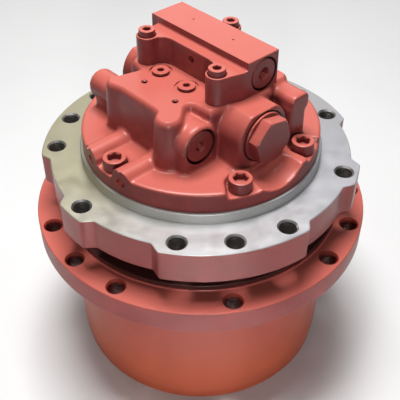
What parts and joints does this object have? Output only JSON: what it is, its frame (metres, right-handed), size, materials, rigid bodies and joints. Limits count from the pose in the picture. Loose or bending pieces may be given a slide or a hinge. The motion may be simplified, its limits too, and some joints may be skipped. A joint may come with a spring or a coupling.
{
  "type": "excavator final drive",
  "caption": "Excavator final drive: rotating sprocket hub with planetary gears inside, fixed frame flange, and a cast red motor cover with a valve block on top.",
  "frame": {"origin": "centre of the end cover's underside, on the drive's axis", "axes": "+Z along the drive's axis, from the end cover up to the motor cover; the picture looks along +Y and down"},
  "size_m": [0.31, 0.31, 0.322],
  "materials": {
    "red_paint": "glossy coral red enamel over castings and screws",
    "bright_steel": "ground bearing and seal steel",
    "plated_steel": "zinc plated",
    "gear_steel": "case hardened, oiled",
    "black_oxide": "sintered brake lining on a dark steel disc",
    "bronze": "bearing bronze"
  },
  "bodies": {
    "fixed_body": {"spindle": "red_paint", "rear_cover": "red_paint", "valve_block": "red_paint", "block_plug_right": "red_paint", "block_plug_left": "red_paint", "hex_cap_right": "red_paint", "spool_plug_left": "red_paint", "selector_plug_right": "red_paint", "selector_plug_left": "red_paint", "gauge_plug_1": "red_paint", "gauge_plug_2": "red_paint", "cover_screw_1": "red_paint", "cover_screw_2": "red_paint", "cover_screw_3": "red_paint", "cover_screw_4": "red_paint", "cover_screw_5": "red_paint", "cover_screw_6": "red_paint", "block_screw_1": "red_paint", "block_screw_2": "red_paint", "block_screw_3": "red_paint", "valve_plate": "bronze", "swash_plate": "gear_steel", "separator_plate": "plated_steel", "brake_spring": "plated_steel", "bearing_nut": "plated_steel", "second_carrier": "gear_steel", "second_planet_pin_1": "gear_steel", "second_planet_pin_2": "gear_steel", "second_planet_pin_3": "gear_steel", "shaft_bearing": "gear_steel", "seal_ring_fixed": "bright_steel", "main_bearing_inner_1": "bright_steel", "main_bearing_inner_2": "bright_steel"},
    "sprocket_hub": {"hub": "red_paint", "end_cover": "red_paint", "drain_plug_1": "plated_steel", "drain_plug_2": "plated_steel", "main_bearing_outer_1": "bright_steel", "main_bearing_outer_2": "bright_steel", "seal_ring_rotating": "bright_steel"},
    "roller_cages": {"roller_set_1": "bright_steel", "roller_set_2": "bright_steel"},
    "second_planet_1": {"second_planet_1": "gear_steel"},
    "second_planet_2": {"second_planet_2": "gear_steel"},
    "second_planet_3": {"second_planet_3": "gear_steel"},
    "first_carrier": {"first_carrier": "gear_steel", "second_sun": "gear_steel", "first_planet_pin_1": "gear_steel", "first_planet_pin_2": "gear_steel", "first_planet_pin_3": "gear_steel"},
    "first_planet_1": {"first_planet_1": "gear_steel"},
    "first_planet_2": {"first_planet_2": "gear_steel"},
    "first_planet_3": {"first_planet_3": "gear_steel"},
    "motor_rotor": {"drive_gear": "gear_steel", "motor_shaft": "bright_steel", "cylinder_block": "gear_steel", "piston_set": "bronze", "friction_disc": "black_oxide"},
    "brake_piston": {"brake_piston": "plated_steel"},
    "counterbalance_spool": {"counterbalance_spool": "bright_steel"}
  },
  "joints": [
    {"name": "hub_spin", "type": "hinge", "parent": "fixed_body", "child": "sprocket_hub", "pos_m": [0, 0, 0], "axis": [0, 0, 1], "continuous": true},
    {"name": "cage_spin", "type": "hinge", "parent": "fixed_body", "child": "roller_cages", "pos_m": [0, 0, 0], "axis": [0, 0, 1], "continuous": true},
    {"name": "second_planet_1_spin", "type": "hinge", "parent": "fixed_body", "child": "second_planet_1", "pos_m": [0.02925, 0.05066, 0.072], "axis": [0, 0, 1], "continuous": true},
    {"name": "second_planet_2_spin", "type": "hinge", "parent": "fixed_body", "child": "second_planet_2", "pos_m": [-0.0585, 0, 0.072], "axis": [0, 0, 1], "continuous": true},
    {"name": "second_planet_3_spin", "type": "hinge", "parent": "fixed_body", "child": "second_planet_3", "pos_m": [0.02925, -0.05066, 0.072], "axis": [0, 0, 1], "continuous": true},
    {"name": "first_carrier_spin", "type": "hinge", "parent": "fixed_body", "child": "first_carrier", "pos_m": [0, 0, 0.05], "axis": [0, 0, 1], "continuous": true},
    {"name": "first_planet_1_spin", "type": "hinge", "parent": "first_carrier", "child": "first_planet_1", "pos_m": [0.0585, 0, 0.03], "axis": [0, 0, 1], "continuous": true},
    {"name": "first_planet_2_spin", "type": "hinge", "parent": "first_carrier", "child": "first_planet_2", "pos_m": [-0.02925, 0.05066, 0.03], "axis": [0, 0, 1], "continuous": true},
    {"name": "first_planet_3_spin", "type": "hinge", "parent": "first_carrier", "child": "first_planet_3", "pos_m": [-0.02925, -0.05066, 0.03], "axis": [0, 0, 1], "continuous": true},
    {"name": "rotor_spin", "type": "hinge", "parent": "fixed_body", "child": "motor_rotor", "pos_m": [0, 0, 0.15], "axis": [0, 0, 1], "continuous": true},
    {"name": "brake_slide", "type": "slide", "parent": "fixed_body", "child": "brake_piston", "axis": [0, 0, 1], "range_m": [0, 0.0018], "stiffness_N_per_m": 20000, "springref_m": -0.002},
    {"name": "spool_slide", "type": "slide", "parent": "fixed_body", "child": "counterbalance_spool", "axis": [0.6756, -0.7373, 0], "range_m": [-0.004, 0.004], "stiffness_N_per_m": 15000}
  ],
  "couplings": [
    {"joint": "cage_spin", "follows": "hub_spin", "ratio": 0.5193},
    {"joint": "second_planet_1_spin", "follows": "hub_spin", "ratio": 2.5},
    {"joint": "second_planet_2_spin", "follows": "hub_spin", "ratio": 2.5},
    {"joint": "second_planet_3_spin", "follows": "hub_spin", "ratio": 2.5},
    {"joint": "first_carrier_spin", "follows": "hub_spin", "ratio": -5},
    {"joint": "first_planet_1_spin", "follows": "hub_spin", "ratio": 15},
    {"joint": "first_planet_2_spin", "follows": "hub_spin", "ratio": 15},
    {"joint": "first_planet_3_spin", "follows": "hub_spin", "ratio": 15},
    {"joint": "rotor_spin", "follows": "hub_spin", "ratio": -35}
  ]
}
